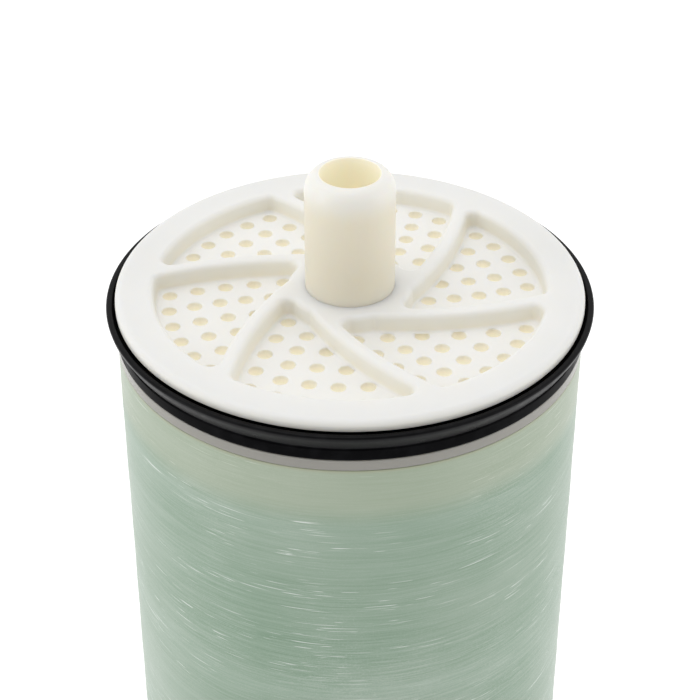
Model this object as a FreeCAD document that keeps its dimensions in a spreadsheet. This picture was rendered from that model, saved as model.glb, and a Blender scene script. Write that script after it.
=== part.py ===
"""Spiral-wound reverse osmosis element of the 4 by 40 inch size, as a parametric FreeCAD document.

Units are millimetres. The axis of the element is Z, with +Z towards the feed end, which carries the
brine seal. The origin is the centre of the permeate tube's lower end.
"""
import FreeCAD, Part
import math
import os
import Sketcher

Vector = FreeCAD.Vector

# alias, value, what it is
SIZES = [
    ("overall_length", 1016.0, "end to end of the permeate tube"),
    ("element_radius", 49.85, "wrap, cap rims and cap flanges"),
    ("fit_clearance", 0.05, "between pieces that are pushed or wound together"),
    # permeate tube
    ("tube_radius", 9.525, "outside of the turned ends that stand out of the caps"),
    ("turned_depth", 0.275, "taken off the tube's radius at its turned ends"),
    ("tube_wall", 3.175, "turned ends, across the wall"),
    ("tube_stub", 26.7, "how far the tube stands out of a cap's face"),
    ("mouth_setback", 2.2, "relief of the tube's outer end edges, across the wall"),
    ("mouth_length", 2.7, "relief of the tube's outer end edges, along the tube"),
    ("drill_radius", 1.6, "holes that let permeate into the tube, to a corner"),
    ("drill_sides", 4, "sides that a drilled hole is drawn with"),
    ("drill_count", 2, "drillings right through the tube in each of two directions"),
    ("drill_margin", 60.0, "from a cap's plate to the first drilling"),
    # end caps, measured down from the cap's face
    ("rim_width", 7.85, "flat rim round the recess"),
    ("rim_chamfer", 1.2, "outer edge of the rim"),
    ("recess_depth", 4.0, "face down to the perforated plate"),
    ("plate_thickness", 5.5, "perforated plate"),
    ("hub_radius", 13.0, "flat hub round the tube"),
    ("groove_start", 2.4, "face down to the seal groove"),
    ("groove_height", 6.9, "seal groove along the axis"),
    ("groove_depth", 3.9, "seal groove into the rim"),
    ("flange_height", 2.5, "flange between groove and wrap"),
    ("skirt_length", 12.5, "skirt under the wrap's end"),
    ("bed_thickness", 1.05, "skirt and tape, the level bed that the wrap is wound on"),
    # swirl ribs
    ("rib_count", 6, "ribs, and sectors of perforations"),
    ("rib_width", 2.8, "across a rib"),
    ("rib_arc_radius", 80.6, "centreline of a rib"),
    ("rib_tangent_radius", 10.0, "circle round the axis that each centreline touches"),
    ("rib_arc_direction", 80.8, "degrees, from the axis to the first rib's arc centre"),
    # perforations
    ("hole_radius", 1.65, "perforations, to a corner"),
    ("hole_sides", 5, "sides that a round perforation is drawn with"),
    ("hole_lines", 6, "lines of perforations that run inwards beside a rib"),
    ("longest_line", 5, "perforations in the longest lines"),
    ("rim_to_hole", 3.4, "recess wall to the centre of each line's outer hole"),
    ("rib_to_hole", 5.2, "rib centreline to the first line"),
    ("line_spacing", 6.0, "between lines"),
    ("first_line_pitch", 5.7, "along the line next to the rib"),
    ("second_line_pitch", 5.45, "along the line after it"),
    ("other_line_pitch", 6.0, "along each of the others"),
    # brine seal
    ("seal_base_height", 2.9, "solid foot of the seal"),
    ("seal_base_proud", 0.2, "foot beyond the element's radius"),
    ("seal_lip_proud", 1.95, "lip beyond the element's radius"),
    ("seal_lip_thickness", 0.9, "tip of the lip"),
    ("seal_headroom", 0.2, "lip's tip to the top of the groove"),
    # wrap and scroll
    ("wrap_thickness", 2.4, "glass fibre and resin wrap"),
    ("core_wrap_thickness", 1.0, "permeate cloth round the tube"),
    ("leaf_layers", 3, "leaves crossed from the core to the tape"),
    ("spiral_chords", 3, "straight stretches in a quarter turn of a leaf"),
    ("run_in_share", 0.75, "spiral's start inside the core, as a share of a leaf set's thickness"),
    ("membrane_share", 0.16, "one membrane sheet, as a share of a leaf set's thickness"),
    ("spacer_share", 0.4, "feed spacer, as a share of a leaf set's thickness"),
    ("fold_thickness", 1.6, "membrane fold at the core"),
]

# alias, expression for a size that follows from the driving ones
DERIVED = [
    ("cap_face", "=overall_length - tube_stub"),
    ("tube_body_radius", "=tube_radius + turned_depth"),
    ("tube_bore_radius", "=tube_radius - tube_wall"),
    ("hub_bore_radius", "=tube_radius + turned_depth + fit_clearance"),
    ("core_radius", "=tube_radius + turned_depth + fit_clearance + core_wrap_thickness"),
    ("recess_radius", "=element_radius - rim_width"),
    ("plate_bottom", "=recess_depth + plate_thickness"),
    ("groove_end", "=groove_start + groove_height"),
    ("flange_end", "=groove_start + groove_height + flange_height"),
    ("skirt_end", "=groove_start + groove_height + flange_height + skirt_length"),
    ("wrap_inner_radius", "=element_radius - wrap_thickness"),
    ("bed_outer_radius", "=element_radius - wrap_thickness - fit_clearance"),
    ("bed_inner_radius", "=element_radius - wrap_thickness - fit_clearance - bed_thickness"),
]

LEAF_COUNT = 4                          # a leaf set starts at each quarter turn
QUARTER = math.pi / 2
FIRST_CENTRE = math.radians(135)        # direction of the first quarter's centre from the axis


def make_sheet(doc):
    """Write the driving sizes as plain numbers with aliases, and the derived ones below them."""
    sheet = doc.addObject("Spreadsheet::Sheet", "Sizes")
    for row, (alias, value, meaning) in enumerate(SIZES, start=1):
        sheet.set(f"A{row}", alias)
        sheet.set(f"B{row}", str(value))
        sheet.set(f"C{row}", meaning)
        sheet.setAlias(f"B{row}", alias)
    for row, (alias, formula) in enumerate(DERIVED, start=len(SIZES) + 1):
        sheet.set(f"A{row}", alias)
        sheet.set(f"B{row}", formula)
        sheet.setAlias(f"B{row}", alias)
    doc.recompute()
    return sheet


def origin_feature(body, role):
    """A plane or axis of the body's own origin."""
    return next(item for item in body.Origin.OriginFeatures if item.Role == role)


def new_body(doc, label):
    body = doc.addObject("PartDesign::Body", label)
    body.Label = label
    return body


def new_sketch(body, name, role):
    sketch = body.newObject("Sketcher::SketchObject", name)
    sketch.AttachmentSupport = [(origin_feature(body, role), "")]
    sketch.MapMode = "FlatFace"
    return sketch


def add_outline(sketch, points):
    """Closed outline whose corners are bound to expressions of the sheet: [(across, along), ...]."""
    horizontal_axis, vertical_axis, origin = -1, -2, (-1, 1)
    corners = [Vector(value_of(sketch, x), value_of(sketch, y), 0) for x, y in points]
    for start, end in zip(corners, corners[1:] + corners[:1]):
        sketch.addGeometry(Part.LineSegment(start, end), False)
    for index, (x, y) in enumerate(points):
        previous = (index - 1) % len(points)
        sketch.addConstraint(Sketcher.Constraint("Coincident", previous, 2, index, 1))
        for kind, axis, text, value in (
            ("DistanceX", vertical_axis, x, corners[index].x),
            ("DistanceY", horizontal_axis, y, corners[index].y),
        ):
            if text == "0":
                sketch.addConstraint(Sketcher.Constraint("PointOnObject", index, 1, axis))
                continue
            number = sketch.addConstraint(Sketcher.Constraint(kind, *origin, index, 1, value))
            sketch.setExpression(f"Constraints[{number}]", text)


def value_of(item, expression):
    """The present value of an expression of the sheet."""
    return float(item.evalExpression(expression))


def named(text):
    """Put the sheet's name before each size in an expression."""
    words = "".join(letter if letter.isalnum() or letter == "_" else f" {letter} " for letter in text)
    return " ".join(f"Sizes.{word}" if word[0].isalpha() else word for word in words.split())


def revolve(doc, body, points):
    """Turn a closed outline round the body's Z axis."""
    sketch = new_sketch(body, f"{body.Label}_profile", "XZ_Plane")
    add_outline(sketch, [(named(x), named(y)) for x, y in points])
    turned = body.newObject("PartDesign::Revolution", f"{body.Label}_turned")
    turned.Profile = sketch
    turned.ReferenceAxis = (sketch, ["V_Axis"])
    turned.Angle = 360.0
    doc.recompute()
    return turned


def make_ring(doc, label, inner, outer, low, high):
    """A plain tube, from four expressions of the sheet."""
    body = new_body(doc, label)
    revolve(doc, body, [(inner, low), (outer, low), (outer, high), (inner, high)])
    return body


def add_polygon(sketch, centre, radius, sides):
    """A regular polygon that stands for a round hole, with one side facing the sketch's origin."""
    turn = math.atan2(centre.y, centre.x) + math.pi + math.pi / sides
    corners = [
        centre + Vector(radius * math.cos(turn + step), radius * math.sin(turn + step), 0)
        for step in (2 * math.pi * index / sides for index in range(sides))
    ]
    for start, end in zip(corners, corners[1:] + corners[:1]):
        sketch.addGeometry(Part.LineSegment(start, end), False)


def cut_through(doc, body, sketch, name):
    """Pocket a sketch right through the body, both ways from its plane, and check that it cut."""
    before = body.Shape.Volume
    pocket = body.newObject("PartDesign::Pocket", name)
    pocket.Profile = sketch
    pocket.Type = "ThroughAll"
    pocket.Midplane = True
    doc.recompute()
    if not body.Shape.Volume < before:
        raise RuntimeError(f"{name} cuts nothing")
    return pocket


def repeat_round(doc, body, feature, name, count):
    """Repeat a feature evenly round the body's Z axis."""
    pattern = body.newObject("PartDesign::PolarPattern", name)
    pattern.Originals = [feature]
    pattern.Axis = (origin_feature(body, "Z_Axis"), [""])
    pattern.Angle = 360.0
    pattern.setExpression("Occurrences", named(count))
    body.Tip = pattern
    doc.recompute()
    return pattern


# ---- permeate tube -------------------------------------------------------------------------------


def make_tube(doc, sheet):
    """Drawn tube with eased ends and rows of holes drilled right through both walls."""
    body = new_body(doc, "permeate_tube")
    revolve(doc, body, [
        ("tube_bore_radius", "0"),
        ("tube_radius - mouth_setback", "0"),
        ("tube_radius", "mouth_length"),
        ("tube_radius", "tube_stub"),
        ("tube_body_radius", "tube_stub"),
        ("tube_body_radius", "cap_face"),
        ("tube_radius", "cap_face"),
        ("tube_radius", "overall_length - mouth_length"),
        ("tube_radius - mouth_setback", "overall_length"),
        ("tube_bore_radius", "overall_length"),
    ])
    first = sheet.tube_stub + sheet.plate_bottom + sheet.drill_margin
    reach = sheet.overall_length - 2 * first
    step = reach / (2 * sheet.drill_count - 1)
    for number, (role, height) in enumerate((("XZ_Plane", first), ("YZ_Plane", first + step))):
        sketch = new_sketch(body, f"drilling_{number}", role)
        add_polygon(sketch, Vector(0, height, 0), sheet.drill_radius, int(sheet.drill_sides))
        pocket = cut_through(doc, body, sketch, f"drilled_{number}")
        row = body.newObject("PartDesign::LinearPattern", f"drilled_row_{number}")
        row.Originals = [pocket]
        row.Direction = (origin_feature(body, "Z_Axis"), [""])
        row.Length = 2 * step * (sheet.drill_count - 1)
        row.setExpression("Occurrences", named("drill_count"))
        body.Tip = row
        doc.recompute()
    return body


# ---- end caps ------------------------------------------------------------------------------------


def rib_angle(sheet, distance, arc_radius):
    """Direction in which an arc about the first rib's centre crosses a circle round the axis."""
    offset = sheet.rib_arc_radius - sheet.rib_tangent_radius
    cosine = (offset**2 + distance**2 - arc_radius**2) / (2 * offset * distance)
    return math.radians(sheet.rib_arc_direction) - math.acos(cosine)


def rib_centre(sheet):
    """Centre of the first rib's arcs."""
    offset = sheet.rib_arc_radius - sheet.rib_tangent_radius
    direction = math.radians(sheet.rib_arc_direction)
    return Vector(offset * math.cos(direction), offset * math.sin(direction), 0)


def add_rib_outline(sketch, sheet):
    """One curved rib, from where it passes the tube to the middle of the rim."""
    centre = rib_centre(sheet)
    outer_end = sheet.recess_radius + sheet.rim_width / 2
    start = math.radians(sheet.rib_arc_direction) + math.pi
    half_width = sheet.rib_width / 2
    ends = []
    for arc_radius in (sheet.rib_arc_radius - half_width, sheet.rib_arc_radius + half_width):
        direction = rib_angle(sheet, outer_end, arc_radius)
        tip = Vector(outer_end * math.cos(direction), outer_end * math.sin(direction), 0) - centre
        stop = math.atan2(tip.y, tip.x)
        stop += 2 * math.pi * math.ceil((start - stop) / (2 * math.pi))
        circle = Part.Circle(centre, Vector(0, 0, 1), arc_radius)
        arc = Part.ArcOfCircle(circle, start, stop)
        sketch.addGeometry(arc, False)
        ends.append((arc.StartPoint, arc.EndPoint))
    for inner, outer in zip(*ends):
        sketch.addGeometry(Part.LineSegment(inner, outer), False)


def add_hole_outlines(sketch, sheet):
    """The perforations of one sector: lines that follow the rib inwards, shorter away from it."""
    lines = int(sheet.hole_lines)
    outer = sheet.recess_radius - sheet.rim_to_hole
    pitches = [sheet.first_line_pitch, sheet.second_line_pitch]
    pitches += [sheet.other_line_pitch] * (lines - len(pitches))
    for line, pitch in enumerate(pitches):
        for hole in range(min(int(sheet.longest_line), lines - line)):
            distance = outer - pitch * hole
            start = rib_angle(sheet, distance, sheet.rib_arc_radius)
            angle = start + (sheet.rib_to_hole + sheet.line_spacing * line) / distance
            centre = Vector(distance * math.cos(angle), distance * math.sin(angle), 0)
            add_polygon(sketch, centre, sheet.hole_radius, int(sheet.hole_sides))


def make_cap(doc, sheet, label, placement):
    """Moulded anti-telescoping cap, drawn with its face at Z = 0 and its skirt hanging down."""
    body = new_body(doc, label)
    revolve(doc, body, [
        ("0", "0"),
        ("hub_radius", "0"),
        ("hub_radius", "-recess_depth"),
        ("recess_radius", "-recess_depth"),
        ("recess_radius", "0"),
        ("element_radius - rim_chamfer", "0"),
        ("element_radius", "-rim_chamfer"),
        ("element_radius", "-groove_start"),
        ("element_radius - groove_depth", "-groove_start"),
        ("element_radius - groove_depth", "-groove_end"),
        ("element_radius", "-groove_end"),
        ("element_radius", "-flange_end"),
        ("bed_outer_radius", "-flange_end"),
        ("bed_outer_radius", "-skirt_end"),
        ("bed_inner_radius", "-skirt_end"),
        ("bed_inner_radius", "-plate_bottom"),
        ("0", "-plate_bottom"),
    ])

    rib_sketch = new_sketch(body, f"{label}_rib_outline", "XY_Plane")
    add_rib_outline(rib_sketch, sheet)
    rib = body.newObject("PartDesign::Pad", f"{label}_rib")
    rib.Profile = rib_sketch
    rib.Reversed = True
    rib.setExpression("Length", named("recess_depth"))
    doc.recompute()
    repeat_round(doc, body, rib, f"{label}_ribs", "rib_count")

    hole_sketch = new_sketch(body, f"{label}_hole_outlines", "XY_Plane")
    add_hole_outlines(hole_sketch, sheet)
    holes = cut_through(doc, body, hole_sketch, f"{label}_holes")
    repeat_round(doc, body, holes, f"{label}_perforations", "rib_count")

    bore_sketch = new_sketch(body, f"{label}_bore_outline", "XY_Plane")
    bore_sketch.addGeometry(Part.Circle(Vector(), Vector(0, 0, 1), sheet.hub_bore_radius), False)
    radius = bore_sketch.addConstraint(Sketcher.Constraint("Radius", 0, sheet.hub_bore_radius))
    bore_sketch.setExpression(f"Constraints[{radius}]", named("hub_bore_radius"))
    bore_sketch.addConstraint(Sketcher.Constraint("Coincident", 0, 3, -1, 1))
    body.Tip = cut_through(doc, body, bore_sketch, f"{label}_bore")
    body.Placement = placement
    return body


def make_caps(doc, sheet, feed_place, brine_place):
    """Both caps are the same moulding, so they share a node as two separate solids."""
    caps = doc.addObject("Part::Compound", "end_caps")
    caps.Label = "end_caps"
    caps.Links = [
        make_cap(doc, sheet, "feed_cap", feed_place),
        make_cap(doc, sheet, "brine_cap", brine_place),
    ]
    doc.recompute()
    return caps


# ---- brine seal ----------------------------------------------------------------------------------


def make_seal(doc, placement):
    """U-cup that lies in the feed cap's groove, its lip flaring out and up towards the feed."""
    body = new_body(doc, "brine_seal")
    inner = "element_radius - groove_depth + fit_clearance"
    lip = "element_radius + seal_lip_proud"
    tip = "-groove_start - seal_headroom"
    shoulder = "-groove_end + seal_base_height"
    revolve(doc, body, [
        (inner, "-groove_end"),
        ("element_radius + seal_base_proud", "-groove_end"),
        ("element_radius + seal_base_proud", shoulder),
        (lip, tip),
        (f"{lip} - seal_lip_thickness", tip),
        (inner, shoulder),
    ])
    body.Placement = placement
    return body


# ---- wound scroll --------------------------------------------------------------------------------


def spiral_band(set_thickness, start_radius, low, high, quarters, chords):
    """Face between two offsets of a spiral of quarter turns, each drawn as a few equal chords.

    The quarters' centres go round a square whose side is the set's thickness, so the radius grows by
    one set each quarter, and the same spiral turned by a quarter lies against it face to face.
    """
    def points(offset):
        found = []
        for quarter in range(quarters):
            corner = FIRST_CENTRE + quarter * QUARTER
            reach = set_thickness / math.sqrt(2)
            radius = start_radius + offset + quarter * set_thickness
            for chord in range(chords + 1 if quarter == quarters - 1 else chords):
                angle = (quarter + chord / chords) * QUARTER
                found.append(Vector(
                    reach * math.cos(corner) + radius * math.cos(angle),
                    reach * math.sin(corner) + radius * math.sin(angle),
                    0,
                ))
        return found

    outline = points(low) + points(high)[::-1]
    return Part.Face(Part.makePolygon(outline + outline[:1]))


def ring_face(inner_radius, outer_radius):
    """Flat ring about the axis."""
    outer = Part.Face(Part.Wire(Part.makeCircle(outer_radius)))
    inner = Part.Face(Part.Wire(Part.makeCircle(inner_radius)))
    return outer.cut(inner)


def make_scroll(doc, sheet):
    """Four leaf sets, each a folded membrane, the feed spacer inside it and a permeate carrier."""
    layers = int(sheet.leaf_layers)
    chords = int(sheet.spiral_chords)
    scroll_radius = sheet.bed_inner_radius - sheet.fit_clearance
    set_thickness = (scroll_radius - sheet.core_radius) / layers
    sheet_edge = sheet.membrane_share * set_thickness
    spacer_edge = sheet_edge + sheet.spacer_share * set_thickness
    fold_edge = spacer_edge + sheet_edge
    start_radius = sheet.core_radius - sheet.run_in_share * set_thickness

    def band(low, high):
        return spiral_band(set_thickness, start_radius, low, high, layers + 2, chords)

    scroll = ring_face(sheet.core_radius, scroll_radius)
    beyond_fold = ring_face(sheet.core_radius + sheet.fold_thickness, scroll_radius)
    spacer = band(sheet_edge, spacer_edge).common(beyond_fold)
    folded = band(0, fold_edge).common(scroll)
    faces = {
        "membrane_leaf": folded.cut(spacer),
        "feed_spacer": spacer,
        "permeate_carrier": band(fold_edge, set_thickness).common(scroll),
    }
    low = sheet.tube_stub + sheet.plate_bottom + sheet.fit_clearance
    length = sheet.overall_length - 2 * low
    pieces = []
    for name, face in faces.items():
        for number in range(LEAF_COUNT):
            piece = doc.addObject("Part::Feature", f"{name}_{number + 1}")
            piece.Label = f"{name}_{number + 1}"
            piece.Shape = face.Faces[0].extrude(Vector(0, 0, length))
            turn = FreeCAD.Rotation(Vector(0, 0, 1), 90 * number)
            piece.Placement = FreeCAD.Placement(Vector(0, 0, low), turn)
            pieces.append(piece)
    return pieces


# ---- whole element -------------------------------------------------------------------------------


def build():
    doc = FreeCAD.newDocument("membrane_element")
    sheet = make_sheet(doc)

    feed_place = FreeCAD.Placement(Vector(0, 0, sheet.cap_face), FreeCAD.Rotation())
    turned_over = FreeCAD.Rotation(Vector(1, 0, 0), 180)
    brine_place = FreeCAD.Placement(Vector(0, 0, sheet.tube_stub), turned_over)

    pieces = [
        make_tube(doc, sheet),
        make_caps(doc, sheet, feed_place, brine_place),
        make_seal(doc, feed_place),
        make_ring(
            doc, "outer_wrap", "wrap_inner_radius", "element_radius",
            "tube_stub + flange_end", "cap_face - flange_end",
        ),
        make_ring(
            doc, "scroll_tape", "bed_inner_radius", "bed_outer_radius",
            "tube_stub + skirt_end", "cap_face - skirt_end",
        ),
        make_ring(
            doc, "core_wrap", "hub_bore_radius", "core_radius",
            "tube_stub + plate_bottom", "cap_face - plate_bottom",
        ),
    ]
    pieces += make_scroll(doc, sheet)
    doc.recompute()
    check(doc, pieces)
    return pieces


def solids_in(piece):
    """How many solids a piece should have."""
    return len(piece.Links) if piece.isDerivedFrom("Part::Compound") else 1


def check(doc, pieces):
    """Stop before anything is written if a feature failed or a piece isn't one valid solid."""
    for item in doc.Objects:
        if {"Invalid", "Error"} & set(item.State):
            raise RuntimeError(f"{item.Label} failed: {item.State}")
    for piece in pieces:
        shape = piece.Shape
        if shape.isNull() or not shape.isValid() or len(shape.Solids) != solids_in(piece):
            raise RuntimeError(f"{piece.Label} isn't made of valid solids")


def export(pieces):
    os.makedirs("parts", exist_ok=True)
    for piece in pieces:
        piece.Shape.exportStep(os.path.join("parts", f"{piece.Label}.step"))
        print(f"{piece.Label}: {piece.Shape.Volume:.0f} mm3")


export(build())
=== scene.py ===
"""Looks of the reverse osmosis membrane element: smooth mouldings, wound wrap, rubber seal, studio."""
import math

import bmesh
import bpy
import numpy as np
from mathutils import Matrix, Vector
from mathutils.geometry import delaunay_2d_cdt


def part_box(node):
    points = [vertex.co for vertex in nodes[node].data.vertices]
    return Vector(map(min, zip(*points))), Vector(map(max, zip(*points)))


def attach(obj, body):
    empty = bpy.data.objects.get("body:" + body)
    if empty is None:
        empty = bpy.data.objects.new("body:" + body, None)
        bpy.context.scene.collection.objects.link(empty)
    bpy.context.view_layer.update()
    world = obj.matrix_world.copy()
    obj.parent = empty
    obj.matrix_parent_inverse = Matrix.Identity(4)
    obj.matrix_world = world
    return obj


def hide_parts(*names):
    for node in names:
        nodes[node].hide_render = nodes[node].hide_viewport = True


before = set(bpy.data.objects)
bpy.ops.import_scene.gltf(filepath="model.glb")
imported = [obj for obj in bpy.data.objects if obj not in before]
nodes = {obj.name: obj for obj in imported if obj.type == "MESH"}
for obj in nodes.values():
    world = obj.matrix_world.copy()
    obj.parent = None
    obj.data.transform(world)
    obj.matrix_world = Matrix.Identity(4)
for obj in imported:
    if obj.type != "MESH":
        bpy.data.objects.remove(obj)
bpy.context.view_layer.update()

MM = 0.001
TURN = 2 * math.pi

# ---- places from the frame -----------------------------------------------------------------------

tube_low, tube_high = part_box("permeate_tube")
caps_low, caps_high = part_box("end_caps")
wrap_low, wrap_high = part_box("outer_wrap")
seal_low, seal_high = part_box("brine_seal")

FEED_FACE = caps_high[2]
BRINE_FACE = caps_low[2]
ELEMENT_R = wrap_high[0]
FLANGE_END = FEED_FACE - wrap_high[2]
TUBE_TOP = tube_high[2]

# ---- sizes of the mouldings, in metres -----------------------------------------------------------

TUBE_R = 9.525 * MM
TUBE_BORE_R = 6.35 * MM
MOUTH_WIDE = 2.95 * MM
MOUTH_LONG = 4.2 * MM

RECESS_R = 42.0 * MM
RECESS_DEPTH = 4.0 * MM
PLATE_BOTTOM = 9.5 * MM
HUB_R = 13.0 * MM
RIM_ROUND = 1.4 * MM
GROOVE_START = 2.4 * MM
GROOVE_END = 9.3 * MM
GROOVE_R = ELEMENT_R - 3.9 * MM
SKIRT_R = 47.4 * MM
SKIRT_INNER_R = 46.35 * MM
SKIRT_END = 24.3 * MM
HUB_BORE_R = 9.85 * MM

RIBS = 6
RIB_WIDTH = 2.8 * MM
RIB_ARC_R = 80.6 * MM
RIB_TANGENT_R = 10.0 * MM
RIB_DIRECTION = math.radians(80.8)
CORNER_R = 2.2 * MM

HOLE_R = 1.55 * MM
HOLE_EDGE = 0.28 * MM
OUTER_HOLE_R = 38.6 * MM
RIB_TO_HOLE = 5.2 * MM
LINE_SPACING = 6.0 * MM
LONGEST_LINE = 5
LINE_PITCHES = [5.7 * MM, 5.45 * MM] + [6.0 * MM] * 4

SEAL_FOOT_HEIGHT = 2.9 * MM
SEAL_FOOT_PROUD = 0.2 * MM
WRAP_WALL = 2.4 * MM

# straight stretches that a circle or an arc is drawn with
CIRCLE_STEPS = 256
WRAP_STEPS = 160
TUBE_STEPS = 128
BORE_STEPS = 96
HOLE_STEPS = 28
POCKET_SIDE_STEPS = (40, 52, 40, 16)
POCKET_CORNER_STEPS = 10
FILLET_STEPS = 6
MOUTH_STEPS = 12


# ---- mesh helpers --------------------------------------------------------------------------------


def finish_mesh(bm, name, material, replaced, sharp=50.0):
    """Weld, face outwards, shade smooth with flats kept flat, and place on the root body."""
    bmesh.ops.remove_doubles(bm, verts=bm.verts, dist=1e-6)
    bmesh.ops.recalc_face_normals(bm, faces=bm.faces)
    mesh = bpy.data.meshes.new(name)
    bm.to_mesh(mesh)
    bm.free()
    mesh.shade_smooth()
    mesh.set_sharp_from_angle(angle=math.radians(sharp))
    piece = bpy.data.objects.new(name, mesh)
    bpy.context.scene.collection.objects.link(piece)
    weighted = piece.modifiers.new("flat_faces", "WEIGHTED_NORMAL")
    weighted.keep_sharp = True
    piece.data.materials.append(material)
    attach(piece, "root")
    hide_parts(*replaced)
    return piece


def add_revolved(bm, profile, steps=CIRCLE_STEPS, closed=True, wobble=None):
    """Turn a list of (radius, height) round Z. wobble(angle, radius, height) may move a radius."""
    rings = []
    for radius, height in profile:
        ring = []
        for step in range(steps):
            angle = TURN * step / steps
            reach = radius + (wobble(angle, radius, height) if wobble else 0.0)
            ring.append(bm.verts.new((reach * math.cos(angle), reach * math.sin(angle), height)))
        rings.append(ring)
    pairs = zip(rings, rings[1:] + rings[:1]) if closed else zip(rings, rings[1:])
    for low, high in pairs:
        for step in range(steps):
            after = (step + 1) % steps
            bm.faces.new((low[step], low[after], high[after], high[step]))


def arc_points(centre, radius, start, stop, steps):
    """Points of an arc in the profile plane, both ends included, angles in degrees."""
    found = []
    for step in range(steps + 1):
        angle = math.radians(start + (stop - start) * step / steps)
        found.append((centre[0] + radius * math.cos(angle), centre[1] + radius * math.sin(angle)))
    return found


def circle_loop(centre, radius, steps):
    return [
        (centre[0] + radius * math.cos(TURN * step / steps),
         centre[1] + radius * math.sin(TURN * step / steps))
        for step in range(steps)
    ]


def add_flat(bm, loops, height, up=True):
    """Fill the flat region that lies inside an odd number of the loops."""
    points = []
    edges = []
    for loop in loops:
        first = len(points)
        points += [Vector(point) for point in loop]
        edges += [(first + i, first + (i + 1) % len(loop)) for i in range(len(loop))]
    found, _, triangles, *_ = delaunay_2d_cdt(points, edges, [], 1, 1e-9)
    flat = np.array([tuple(point) for point in found])
    starts = np.array([tuple(points[a]) for a, _ in edges])
    ends = np.array([tuple(points[b]) for _, b in edges])
    verts = [bm.verts.new((x, y, height)) for x, y in flat]
    for triangle in triangles:
        middle = flat[list(triangle)].mean(axis=0)
        across = (starts[:, 1] > middle[1]) != (ends[:, 1] > middle[1])
        rise = np.where(across, ends[:, 1] - starts[:, 1], 1.0)
        meets = starts[:, 0] + (middle[1] - starts[:, 1]) * (ends[:, 0] - starts[:, 0]) / rise
        if np.count_nonzero(across & (meets > middle[0])) % 2:
            corners = triangle if up else triangle[::-1]
            bm.faces.new([verts[i] for i in corners])


def add_wall(bm, loops, heights):
    """Skin between loops of equal length, each at its own height."""
    rings = [
        [bm.verts.new((x, y, height)) for x, y in loop] for loop, height in zip(loops, heights)
    ]
    for low, high in zip(rings, rings[1:]):
        for i in range(len(low)):
            after = (i + 1) % len(low)
            bm.faces.new((low[i], low[after], high[after], high[i]))


# ---- end cap -------------------------------------------------------------------------------------


def polar(radius, angle):
    return Vector((radius * math.cos(angle), radius * math.sin(angle)))


def rib_angle(radius):
    """Direction in which the first rib's centreline crosses a circle round the axis."""
    offset = RIB_ARC_R - RIB_TANGENT_R
    cosine = (offset**2 + radius**2 - RIB_ARC_R**2) / (2 * offset * radius)
    return RIB_DIRECTION - math.acos(cosine)


def meeting_point(centre_a, radius_a, centre_b, radius_b, near):
    """The crossing of two circles that lies nearer to a point."""
    between = centre_b - centre_a
    distance = between.length
    along = (distance**2 + radius_a**2 - radius_b**2) / (2 * distance)
    half = math.sqrt(radius_a**2 - along**2)
    foot = centre_a + between * (along / distance)
    side = Vector((-between.y, between.x)) * (half / distance)
    return min((foot + side, foot - side), key=lambda point: (point - near).length)


class Pocket:
    """One sunk sector between two ribs: four arcs joined by round corners, offset at will."""

    def __init__(self):
        offset = RIB_ARC_R - RIB_TANGENT_R
        this_rib = polar(offset, RIB_DIRECTION)
        next_rib = polar(offset, RIB_DIRECTION + TURN / RIBS)
        axis = Vector((0.0, 0.0))
        # centre, radius, and +1 where the pocket lies inside the circle
        self.sides = [
            (this_rib, RIB_ARC_R - RIB_WIDTH / 2, 1),
            (axis, RECESS_R, 1),
            (next_rib, RIB_ARC_R + RIB_WIDTH / 2, -1),
            (axis, HUB_R, -1),
        ]
        outer, inner = rib_angle(RECESS_R), rib_angle(HUB_R)
        aside = 0.08
        near = [
            polar(RECESS_R, outer + aside),
            polar(RECESS_R, outer + TURN / RIBS - aside),
            polar(HUB_R, inner + TURN / RIBS - aside),
            polar(HUB_R, inner + aside),
        ]
        self.corners = []
        for number, guess in enumerate(near):
            a, b = self.sides[number], self.sides[(number + 1) % 4]
            self.corners.append(meeting_point(
                a[0], a[1] - a[2] * CORNER_R, b[0], b[1] - b[2] * CORNER_R, guess))

    def outline(self, inset):
        """Closed loop, moved into the pocket by inset."""
        loop = []
        for number, (centre, radius, inside) in enumerate(self.sides):
            steps = POCKET_SIDE_STEPS[number]
            before, after = self.corners[number - 1], self.corners[number]
            reach = radius - inside * inset
            loop += self.arc(centre, reach, before - centre, after - centre, steps)
            centre_b, _, inside_b = self.sides[(number + 1) % 4]
            first = (after - centre) * inside
            last = (after - centre_b) * inside_b
            loop += self.arc(after, CORNER_R - inset, first, last, POCKET_CORNER_STEPS)
        return loop

    @staticmethod
    def arc(centre, radius, first, last, steps):
        """Points from one direction to another the short way, without the last."""
        start = math.atan2(first.y, first.x)
        sweep = math.atan2(last.y, last.x) - start
        sweep = (sweep + math.pi) % TURN - math.pi
        return [tuple(centre + polar(radius, start + sweep * step / steps)) for step in range(steps)]


def turned(loop, angle):
    cosine, sine = math.cos(angle), math.sin(angle)
    return [(x * cosine - y * sine, x * sine + y * cosine) for x, y in loop]


def hole_centres():
    """Perforations of the first sector, in lines that follow the rib inwards."""
    found = []
    for line, pitch in enumerate(LINE_PITCHES):
        for hole in range(min(LONGEST_LINE, len(LINE_PITCHES) - line)):
            radius = OUTER_HOLE_R - pitch * hole
            angle = rib_angle(radius) + (RIB_TO_HOLE + LINE_SPACING * line) / radius
            found.append(polar(radius, angle))
    return found


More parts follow.
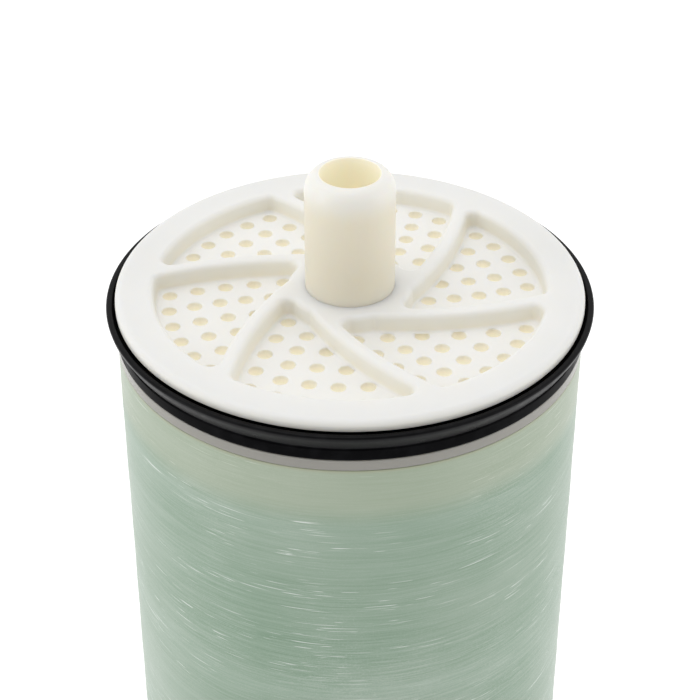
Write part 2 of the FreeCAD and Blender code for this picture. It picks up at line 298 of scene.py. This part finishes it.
def pocket_profile():
    """(inset, height) down a pocket's wall: round brow, leaning wall, round foot."""
    brow, foot, lean = 1.3 * MM, 0.7 * MM, 0.15 * MM
    start = -0.95 * MM
    base = start + brow + lean
    angles = [TURN / 4 * step / FILLET_STEPS for step in range(FILLET_STEPS + 1)]
    found = [(start + brow * math.sin(angle), -brow * (1 - math.cos(angle))) for angle in angles]
    for angle in angles:
        height = -RECESS_DEPTH + foot * (1 - math.sin(angle))
        found.append((base + foot * (1 - math.cos(angle)), height))
    return found


def make_cap(name, material, place):
    """One cap, drawn with its face at z = 0 and its skirt hanging down."""
    bm = bmesh.new()
    mouth_r = TUBE_R + 0.005 * MM
    pocket = Pocket()
    profile = pocket_profile()
    loops = [pocket.outline(inset) for inset, _ in profile]
    heights = [height for _, height in profile]
    centres = hole_centres()
    top_loops = [
        circle_loop((0, 0), ELEMENT_R - RIM_ROUND, CIRCLE_STEPS),
        circle_loop((0, 0), mouth_r, BORE_STEPS),
    ]
    under_loops = [
        circle_loop((0, 0), SKIRT_INNER_R, CIRCLE_STEPS),
        circle_loop((0, 0), HUB_BORE_R, BORE_STEPS),
    ]
    hole_profile = [
        (HOLE_R + HOLE_EDGE, -RECESS_DEPTH),
        (HOLE_R + HOLE_EDGE * 0.5, -RECESS_DEPTH - HOLE_EDGE * 0.14),
        (HOLE_R + HOLE_EDGE * 0.14, -RECESS_DEPTH - HOLE_EDGE * 0.5),
        (HOLE_R, -RECESS_DEPTH - HOLE_EDGE),
        (HOLE_R, -PLATE_BOTTOM),
    ]
    for sector in range(RIBS):
        angle = sector * TURN / RIBS
        walls = [turned(loop, angle) for loop in loops]
        add_wall(bm, walls, heights)
        top_loops.append(walls[0])
        floor = [walls[-1]]
        for centre in centres:
            middle = turned([tuple(centre)], angle)[0]
            rings = [circle_loop(middle, radius, HOLE_STEPS) for radius, _ in hole_profile]
            add_wall(bm, rings, [height for _, height in hole_profile])
            floor.append(rings[0])
            under_loops.append(rings[-1])
        add_flat(bm, floor, -RECESS_DEPTH)
    add_flat(bm, top_loops, 0.0)
    add_flat(bm, under_loops, -PLATE_BOTTOM, up=False)

    edge = 0.25 * MM
    outside = arc_points((ELEMENT_R - RIM_ROUND, -RIM_ROUND), RIM_ROUND, 90, 0, 10)
    outside += arc_points((ELEMENT_R - edge, -GROOVE_START + edge), edge, 0, -90, 4)
    outside += [(GROOVE_R, -GROOVE_START), (GROOVE_R, -GROOVE_END)]
    outside += arc_points((ELEMENT_R - edge, -GROOVE_END - edge), edge, 90, 0, 4)
    outside += arc_points((ELEMENT_R - edge, -FLANGE_END + edge), edge, 0, -90, 4)
    outside += [(SKIRT_R, -FLANGE_END), (SKIRT_R, -SKIRT_END), (SKIRT_INNER_R, -SKIRT_END)]
    outside += [(SKIRT_INNER_R, -PLATE_BOTTOM)]
    add_revolved(bm, outside, closed=False)
    add_revolved(bm, [
        (mouth_r, 0.0), (HUB_BORE_R, -0.4 * MM), (HUB_BORE_R, -PLATE_BOTTOM)
    ], steps=BORE_STEPS, closed=False)
    bm.transform(place)
    return finish_mesh(bm, name, material, ["end_caps"], sharp=35)


# ---- permeate tube -------------------------------------------------------------------------------


def make_tube(material):
    """The whole tube, with softly rounded outer ends and a lightly broken bore edge."""
    bm = bmesh.new()
    lip = 0.12 * MM

    def mouth(end, inward):
        found = [(TUBE_R, end + inward * MOUTH_LONG * 1.6)]
        for step in range(MOUTH_STEPS + 1):
            angle = math.radians(90 * step / MOUTH_STEPS)
            found.append((
                TUBE_R - MOUTH_WIDE * (1 - math.cos(angle)),
                end + inward * MOUTH_LONG * (1 - math.sin(angle)),
            ))
        for step in range(1, 6):
            angle = math.radians(90 * step / 5)
            found.append((
                TUBE_BORE_R + lip * (1 - math.sin(angle)),
                end + inward * lip * (1 - math.cos(angle)),
            ))
        return found

    top = mouth(TUBE_TOP, -1)
    bottom = mouth(tube_low[2], 1)[::-1]
    add_revolved(bm, top + bottom, steps=TUBE_STEPS)
    return finish_mesh(bm, "tube_moulding", material, ["permeate_tube"], sharp=40)


# ---- brine seal ----------------------------------------------------------------------------------


def make_seal(material):
    """Rubber U-cup: a rounded foot in the groove and a thin lip that flares out and up."""
    bm = bmesh.new()
    foot_low = FEED_FACE - GROOVE_END + 0.02 * MM
    shoulder = foot_low + SEAL_FOOT_HEIGHT
    tip = FEED_FACE - GROOVE_START + 0.1 * MM
    tip_r = seal_high[0]
    foot_r = ELEMENT_R + SEAL_FOOT_PROUD
    inner_r = GROOVE_R + 0.05 * MM
    arm = 1.1 * MM
    profile = [(inner_r, foot_low)]
    profile += arc_points((foot_r - 0.5 * MM, foot_low + 0.5 * MM), 0.5 * MM, -90, 0, 5)
    profile += arc_points((foot_r - 0.35 * MM, shoulder - 0.5 * MM), 0.35 * MM, 0, 60, 3)
    profile += [(foot_r - 0.12 * MM, shoulder + 0.05 * MM), (foot_r + 0.12 * MM, shoulder + 0.35 * MM)]
    profile += [(tip_r - 0.2 * MM, tip - 1.3 * MM)]
    profile += arc_points((tip_r - 0.45 * MM, tip - 0.45 * MM), 0.45 * MM, -10, 90, 6)
    profile += arc_points((tip_r - 0.95 * MM, tip - 0.4 * MM), 0.4 * MM, 90, 170, 4)
    profile += [(inner_r + arm + 0.9 * MM, shoulder + 0.3 * MM), (inner_r + arm, shoulder + 0.5 * MM)]
    profile += arc_points((inner_r + arm / 2, tip - arm), arm / 2, 0, 90, 4)
    profile += [(inner_r, tip - arm / 2)]
    add_revolved(bm, profile)
    return finish_mesh(bm, "seal_ring", material, ["brine_seal"], sharp=60)


# ---- wrap ----------------------------------------------------------------------------------------


def make_wrap(material):
    """Wound glass-fibre shell with the faint ridges of its rovings."""
    bm = bmesh.new()
    inner_r = ELEMENT_R - WRAP_WALL
    low, high = wrap_low[2], wrap_high[2]
    step = 3.0 * MM
    count = round((high - low) / step)
    edge = 0.15 * MM
    outer = [(ELEMENT_R - edge, low), (ELEMENT_R, low + edge)]
    outer += [(ELEMENT_R, low + (high - low) * i / count) for i in range(1, count)]
    outer += [(ELEMENT_R, high - edge), (ELEMENT_R - edge, high)]

    def ripple(angle, radius, height):
        if radius < ELEMENT_R:
            return 0.0
        winding = math.sin(TURN * height / (17 * MM) + angle)
        drift = math.sin(TURN * height / (61 * MM) + 3 * angle)
        return -0.025 * MM * (1 - winding) - 0.02 * MM * (1 - drift)

    add_revolved(bm, outer + [(inner_r, high), (inner_r, low)], steps=WRAP_STEPS, wobble=ripple)
    return finish_mesh(bm, "wound_wrap", material, ["outer_wrap"], sharp=60)


# ---- materials -----------------------------------------------------------------------------------


class Nodes:
    """Small builder for one material's node tree."""

    def __init__(self, name):
        self.material = bpy.data.materials.new(name)
        self.material.use_nodes = True
        self.tree = self.material.node_tree
        self.shader = self.tree.nodes["Principled BSDF"]

    def add(self, kind, **inputs):
        node = self.tree.nodes.new(kind)
        for key, value in inputs.items():
            self.put(node.inputs[key.replace("_", " ")], value)
        return node

    def put(self, socket, value):
        """Link an output, or set a constant."""
        if isinstance(value, bpy.types.NodeSocket):
            self.tree.links.new(value, socket)
        else:
            socket.default_value = value

    def set(self, **values):
        for key, value in values.items():
            self.put(self.shader.inputs[key.replace("_", " ")], value)

    def place(self):
        """Position on the object, in metres."""
        return self.tree.nodes.new("ShaderNodeTexCoord").outputs["Object"]

    def stretched(self, scale):
        """Position times a scale for each axis."""
        node = self.tree.nodes.new("ShaderNodeMapping")
        self.put(node.inputs["Vector"], self.place())
        node.inputs["Scale"].default_value = scale
        return node.outputs["Vector"]

    def noise(self, vector, scale, detail=3.0, roughness=0.55):
        node = self.add("ShaderNodeTexNoise", Scale=scale, Detail=detail, Roughness=roughness)
        self.put(node.inputs["Vector"], vector)
        return node.outputs["Fac"]

    def spread(self, value, low, high, to_low=0.0, to_high=1.0, smooth=False):
        """Map a range to another, clamped."""
        node = self.tree.nodes.new("ShaderNodeMapRange")
        node.interpolation_type = "SMOOTHSTEP" if smooth else "LINEAR"
        for socket, number in zip(("Value", "From Min", "From Max", "To Min", "To Max"),
                                  (value, low, high, to_low, to_high)):
            self.put(node.inputs[socket], number)
        return node.outputs["Result"]

    def math(self, operation, a, b=0.0):
        node = self.tree.nodes.new("ShaderNodeMath")
        node.operation = operation
        self.put(node.inputs[0], a)
        self.put(node.inputs[1], b)
        return node.outputs["Value"]

    def mix(self, factor, a, b):
        """Blend two colours."""
        node = self.tree.nodes.new("ShaderNodeMix")
        node.data_type = "RGBA"
        self.put(node.inputs["Factor"], factor)
        for socket, value in ((node.inputs[6], a), (node.inputs[7], b)):
            self.put(socket, value if isinstance(value, bpy.types.NodeSocket) else (*value, 1.0))
        return node.outputs[2]

    def height(self):
        """Z on the object."""
        node = self.tree.nodes.new("ShaderNodeSeparateXYZ")
        self.put(node.inputs[0], self.place())
        return node.outputs["Z"]

    def from_middle(self):
        """Height above or below the element's middle."""
        middle = self.math("SUBTRACT", self.height(), (FEED_FACE + BRINE_FACE) / 2)
        return self.math("ABSOLUTE", middle)

    def from_axis(self):
        """Distance from the element's axis."""
        node = self.tree.nodes.new("ShaderNodeVectorMath")
        node.operation = "MULTIPLY"
        self.put(node.inputs[0], self.place())
        node.inputs[1].default_value = (1.0, 1.0, 0.0)
        length = self.tree.nodes.new("ShaderNodeVectorMath")
        length.operation = "LENGTH"
        self.put(length.inputs[0], node.outputs["Vector"])
        return length.outputs["Value"]

    def steepness(self):
        """0 on level faces, 1 on upright ones."""
        coordinates = self.tree.nodes.new("ShaderNodeTexCoord")
        split = self.tree.nodes.new("ShaderNodeSeparateXYZ")
        self.put(split.inputs[0], coordinates.outputs["Normal"])
        return self.spread(self.math("ABSOLUTE", split.outputs["Z"]), 0.95, 0.25)

    def bump(self, height, distance, strength=1.0):
        node = self.add("ShaderNodeBump", Height=height)
        node.inputs["Distance"].default_value = distance
        node.inputs["Strength"].default_value = strength
        self.put(self.shader.inputs["Normal"], node.outputs["Normal"])


def cap_plastic():
    m = Nodes("cap_plastic")
    mottle = m.spread(m.noise(m.place(), 90.0, 4.0), 0.3, 0.7)
    half = (FEED_FACE - BRINE_FACE) / 2
    # Painted light: the pocket floors are painted lighter than the rim, standing in for light bounced
    # round the recess.
    floor = m.spread(m.from_middle(), half - 0.3 * RECESS_DEPTH, half - RECESS_DEPTH)
    flat = m.mix(floor, (0.82, 0.815, 0.79), (0.85, 0.845, 0.82))
    # Painted light: upright faces get a warm tint that is lighter deeper in the pocket, standing in
    # for warm bounced light and light through the translucent plastic.
    steep = m.mix(floor, (0.84, 0.82, 0.75), (0.90, 0.86, 0.75))
    face = m.mix(m.steepness(), flat, steep)
    face = m.mix(m.math("MULTIPLY", mottle, 0.25), face, (0.88, 0.875, 0.85))
    under = m.spread(m.from_middle(), half - RECESS_DEPTH - 0.1 * MM, half - RECESS_DEPTH - 1.0 * MM)
    outside = m.spread(m.from_axis(), RECESS_R, RECESS_R + 1 * MM)
    hole = m.math("MULTIPLY", under, m.math("SUBTRACT", 1.0, outside))
    ring = m.math("MULTIPLY", under, outside)
    # Painted light: hole walls and the plate's underside are painted a light warm cream, standing in
    # for light bounced in the holes and passing through the plastic.
    face = m.mix(hole, face, (0.90, 0.87, 0.77))
    # Outer faces below the recess floor (groove, flange, skirt) are dark grey and glossier: partly the
    # flange's own grey tone, partly painted shade cast by the seal lip.
    face = m.mix(ring, face, (0.31, 0.30, 0.27))
    m.set(Base_Color=face, Specular_IOR_Level=0.4)
    m.set(Roughness=m.math("SUBTRACT", 0.42, m.math("MULTIPLY", ring, 0.2)))
    # Painted glow: the holes emit faintly, more deeply down, standing in for light that passes through
    # the translucent plastic.
    plate = half - RECESS_DEPTH
    painted_hole_glow = m.spread(m.from_middle(), plate - 0.3 * MM, plate - 2.4 * MM, 0.0, 0.2)
    m.set(Emission_Color=(1.0, 0.93, 0.8, 1.0), Emission_Strength=m.math("MULTIPLY", hole, painted_hole_glow))
    m.set(Subsurface_Weight=0.35, Subsurface_Radius=(0.005, 0.0045, 0.0036), Subsurface_Scale=1.0)
    m.bump(m.noise(m.place(), 900.0, 3.0), 0.00002, 0.5)
    return m.material


def tube_plastic():
    m = Nodes("tube_plastic")
    mottle = m.noise(m.stretched((60.0, 60.0, 12.0)), 1.0, 4.0)
    # The long side is warm cream and the parts within a few millimetres of each end are lighter and
    # neutral: partly the tube's own cream tone, partly painted light, with the warm side standing in
    # for warm bounced light.
    side = m.mix(mottle, (0.79, 0.745, 0.62), (0.82, 0.78, 0.66))
    end = m.spread(m.from_middle(), TUBE_TOP / 2 - 8 * MM, TUBE_TOP / 2 - 1 * MM, smooth=True)
    face = m.mix(end, side, (0.84, 0.83, 0.79))
    # Painted light: the bore wall is painted a light warm cream and glows faintly, standing in for
    # light that passes through the translucent tube.
    bore = m.spread(m.from_axis(), TUBE_BORE_R + 0.02 * MM, TUBE_BORE_R + 0.3 * MM, 1.0, 0.0)
    face = m.mix(bore, face, (0.90, 0.86, 0.72))
    m.set(Base_Color=face, Roughness=0.36)
    m.set(Emission_Color=(1.0, 0.92, 0.74, 1.0), Emission_Strength=m.math("MULTIPLY", bore, 0.11))
    m.set(Subsurface_Weight=0.5, Subsurface_Radius=(0.005, 0.004, 0.0028), Subsurface_Scale=1.0)
    m.bump(m.noise(m.stretched((300.0, 300.0, 40.0)), 1.0, 3.0), 0.00003, 0.4)
    return m.material


def seal_rubber():
    m = Nodes("seal_rubber")
    dust = m.noise(m.place(), 260.0, 5.0)
    shoulder = FEED_FACE - GROOVE_END + 3.1 * MM
    lip = m.spread(m.height(), shoulder - 0.2 * MM, shoulder + 0.2 * MM)
    m.set(Base_Color=m.mix(m.spread(dust, 0.45, 0.75), (0.003, 0.003, 0.0035), (0.008, 0.008, 0.009)))
    m.set(Roughness=m.spread(dust, 0.3, 0.7, 0.26, 0.4))
    m.set(Specular_IOR_Level=m.spread(lip, 0.0, 1.0, 0.02, 0.08))
    m.bump(m.noise(m.place(), 700.0, 3.0), 0.00002, 0.4)
    return m.material


def wrap_laminate():
    m = Nodes("wrap_laminate")
    cloud = m.noise(m.stretched((16.0, 16.0, 30.0)), 1.0, 4.0)
    band = m.noise(m.stretched((6.0, 6.0, 120.0)), 1.0, 3.0)
    base = m.mix(m.spread(cloud, 0.32, 0.68), (0.165, 0.28, 0.18), (0.28, 0.375, 0.285))
    base = m.mix(m.spread(band, 0.4, 0.7, 0.0, 0.35), base, (0.36, 0.46, 0.375))
    fine = m.noise(m.stretched((110.0, 110.0, 7500.0)), 1.0, 3.0, 0.65)
    broad = m.noise(m.stretched((40.0, 40.0, 1600.0)), 1.0, 3.0, 0.6)
    cross = m.noise(m.stretched((2600.0, 2600.0, 3200.0)), 1.0, 2.0, 0.5)
    dense = m.spread(m.noise(m.stretched((20.0, 20.0, 14.0)), 1.0, 2.0), 0.38, 0.62, 0.25, 1.0)
    base = m.mix(m.spread(broad, 0.4, 0.75, 0.0, 0.3), base, (0.42, 0.51, 0.43))
    thread = m.math("MULTIPLY", m.spread(fine, 0.47, 0.72, 0.0, 0.75), dense)
    base = m.mix(thread, base, (0.52, 0.60, 0.53))
    weave = m.math("MULTIPLY", m.spread(cross, 0.5, 0.75, 0.0, 0.3), dense)
    base = m.mix(weave, base, (0.55, 0.62, 0.56))
    for number, (around, along, low) in enumerate(((60.0, 3000.0, 0.70), (130.0, 3600.0, 0.69))):
        place = m.stretched((around, around, along))
        where = m.noise(m.stretched((26.0 + 9.0 * number, 26.0, 90.0)), 1.0, 2.0)
        dash = m.noise(place, 1.0, 1.0, 0.4)
        streak = m.math("MULTIPLY", m.spread(dash, low, low + 0.05), m.spread(where, 0.47, 0.56))
        base = m.mix(m.math("MULTIPLY", streak, 0.8), base, (0.74, 0.79, 0.75))
    half = (FEED_FACE - BRINE_FACE) / 2
    skirt_edge, wrap_edge = half - SKIRT_END, half - FLANGE_END
    skirt = m.spread(m.from_middle(), skirt_edge - 2.5 * MM, skirt_edge + 4.0 * MM, smooth=True)
    base = m.mix(m.math("MULTIPLY", skirt, 0.5), base, (0.44, 0.475, 0.35))
    hem = m.spread(m.from_middle(), wrap_edge - 1.0 * MM, wrap_edge - 0.1 * MM, smooth=True)
    base = m.mix(m.math("MULTIPLY", hem, 0.5), base, (0.36, 0.35, 0.22))
    m.set(Base_Color=base, Roughness=m.spread(fine, 0.3, 0.8, 0.34, 0.5))
    m.set(Coat_Weight=0.2, Coat_Roughness=0.22)
    m.bump(m.math("ADD", fine, m.math("MULTIPLY", broad, 0.7)), 0.0001, 0.5)
    return m.material


def woven(name, dark, light, scale):
    """Cloth, netting or film edge seen at the scroll's end, lifted by a faint painted glow."""
    m = Nodes(name)
    grain = m.noise(m.place(), scale, 4.0)
    m.set(Base_Color=m.mix(m.spread(grain, 0.35, 0.65), dark, light), Roughness=0.7)
    # Painted glow in the cloth's light colour lifts the scroll's end seen through the perforations,
    # where little light reaches.
    m.set(Emission_Color=(*light, 1.0), Emission_Strength=0.12)
    m.bump(grain, 0.0001, 0.6)
    return m.material


# ---- pieces --------------------------------------------------------------------------------------

turned_over = Matrix.Translation((0, 0, BRINE_FACE)) @ Matrix.Rotation(math.pi, 4, "X")
cap_material = cap_plastic()
make_cap("feed_cap_moulding", cap_material, Matrix.Translation((0, 0, FEED_FACE)))
make_cap("brine_cap_moulding", cap_material, turned_over)
make_tube(tube_plastic())
make_seal(seal_rubber())
make_wrap(wrap_laminate())

hidden = {
    "membrane_leaf": woven("membrane", (0.80, 0.76, 0.62), (0.86, 0.83, 0.72), 700.0),
    "feed_spacer": woven("netting", (0.62, 0.62, 0.52), (0.78, 0.77, 0.66), 1200.0),
    "permeate_carrier": woven("cloth", (0.78, 0.75, 0.62), (0.88, 0.86, 0.76), 2000.0),
    "scroll_tape": woven("tape", (0.55, 0.60, 0.48), (0.62, 0.66, 0.55), 300.0),
    "core_wrap": woven("core_cloth", (0.78, 0.75, 0.62), (0.88, 0.86, 0.76), 2000.0),
}
for name, node in nodes.items():
    for start, material in hidden.items():
        if name.startswith(start):
            node.data.materials.clear()
            node.data.materials.append(material)

# ---- studio --------------------------------------------------------------------------------------


def make_floor():
    mesh = bpy.data.meshes.new("floor")
    reach = 6.0
    corners = [(-reach, -reach, 0), (reach, -reach, 0), (reach, reach, 0), (-reach, reach, 0)]
    mesh.from_pydata(corners, [], [(0, 1, 2, 3)])
    floor = bpy.data.objects.new("floor", mesh)
    bpy.context.scene.collection.objects.link(floor)
    m = Nodes("floor")
    m.set(Base_Color=(0.9, 0.9, 0.9, 1.0), Roughness=0.9, Emission_Color=(1.0, 1.0, 1.0, 1.0))
    m.set(Emission_Strength=0.45)
    mesh.materials.append(m.material)


def make_light(name, place, target, size, power):
    data = bpy.data.lights.new(name, "AREA")
    data.shape = "RECTANGLE"
    data.size, data.size_y = size
    data.energy = power
    lamp = bpy.data.objects.new(name, data)
    lamp.location = place
    lamp.rotation_euler = (Vector(target) - Vector(place)).to_track_quat("-Z", "Y").to_euler()
    bpy.context.scene.collection.objects.link(lamp)


def make_camera():
    """Above the feed end, looking down at it along +Y."""
    data = bpy.data.cameras.new("camera")
    data.lens = 99.37
    data.sensor_width = 36.0
    data.clip_start = 0.01
    camera = bpy.data.objects.new("camera", data)
    camera.location = (0.0, -347.19 * MM, FEED_FACE + 219.91 * MM)
    camera.rotation_euler = (math.radians(90 - 34.337), 0.0, 0.0)
    bpy.context.scene.collection.objects.link(camera)
    bpy.context.scene.camera = camera


def make_world():
    """Pale surroundings: brightest overhead and at the sides, dimmer behind the camera."""
    world = bpy.data.worlds.new("studio")
    world.use_nodes = True
    tree = world.node_tree
    back = tree.nodes["Background"]
    place = tree.nodes.new("ShaderNodeTexCoord")
    split = tree.nodes.new("ShaderNodeSeparateXYZ")
    ramp = tree.nodes.new("ShaderNodeMapRange")
    ramp.interpolation_type = "SMOOTHSTEP"
    tree.links.new(place.outputs["Generated"], split.inputs[0])
    tree.links.new(split.outputs["Y"], ramp.inputs["Value"])
    for socket, number in (("From Min", -1.0), ("From Max", -0.2), ("To Min", 0.4), ("To Max", 0.85)):
        ramp.inputs[socket].default_value = number
    tree.links.new(ramp.outputs["Result"], back.inputs["Strength"])
    back.inputs["Color"].default_value = (1.0, 1.0, 1.0, 1.0)
    bpy.context.scene.world = world


make_floor()
make_camera()
make_world()
bpy.context.scene.view_settings.view_transform = "Standard"
make_light("top", (-0.2, 0.1, FEED_FACE + 1.1), (0, 0, FEED_FACE), (0.9, 0.9), 3.0)
make_light("left", (-1.0, -0.35, FEED_FACE + 0.25), (0, 0, FEED_FACE - 0.06), (0.4, 0.9), 2.2)
make_light("right", (1.0, -0.2, FEED_FACE + 0.15), (0, 0, FEED_FACE - 0.06), (0.4, 0.9), 1.6)
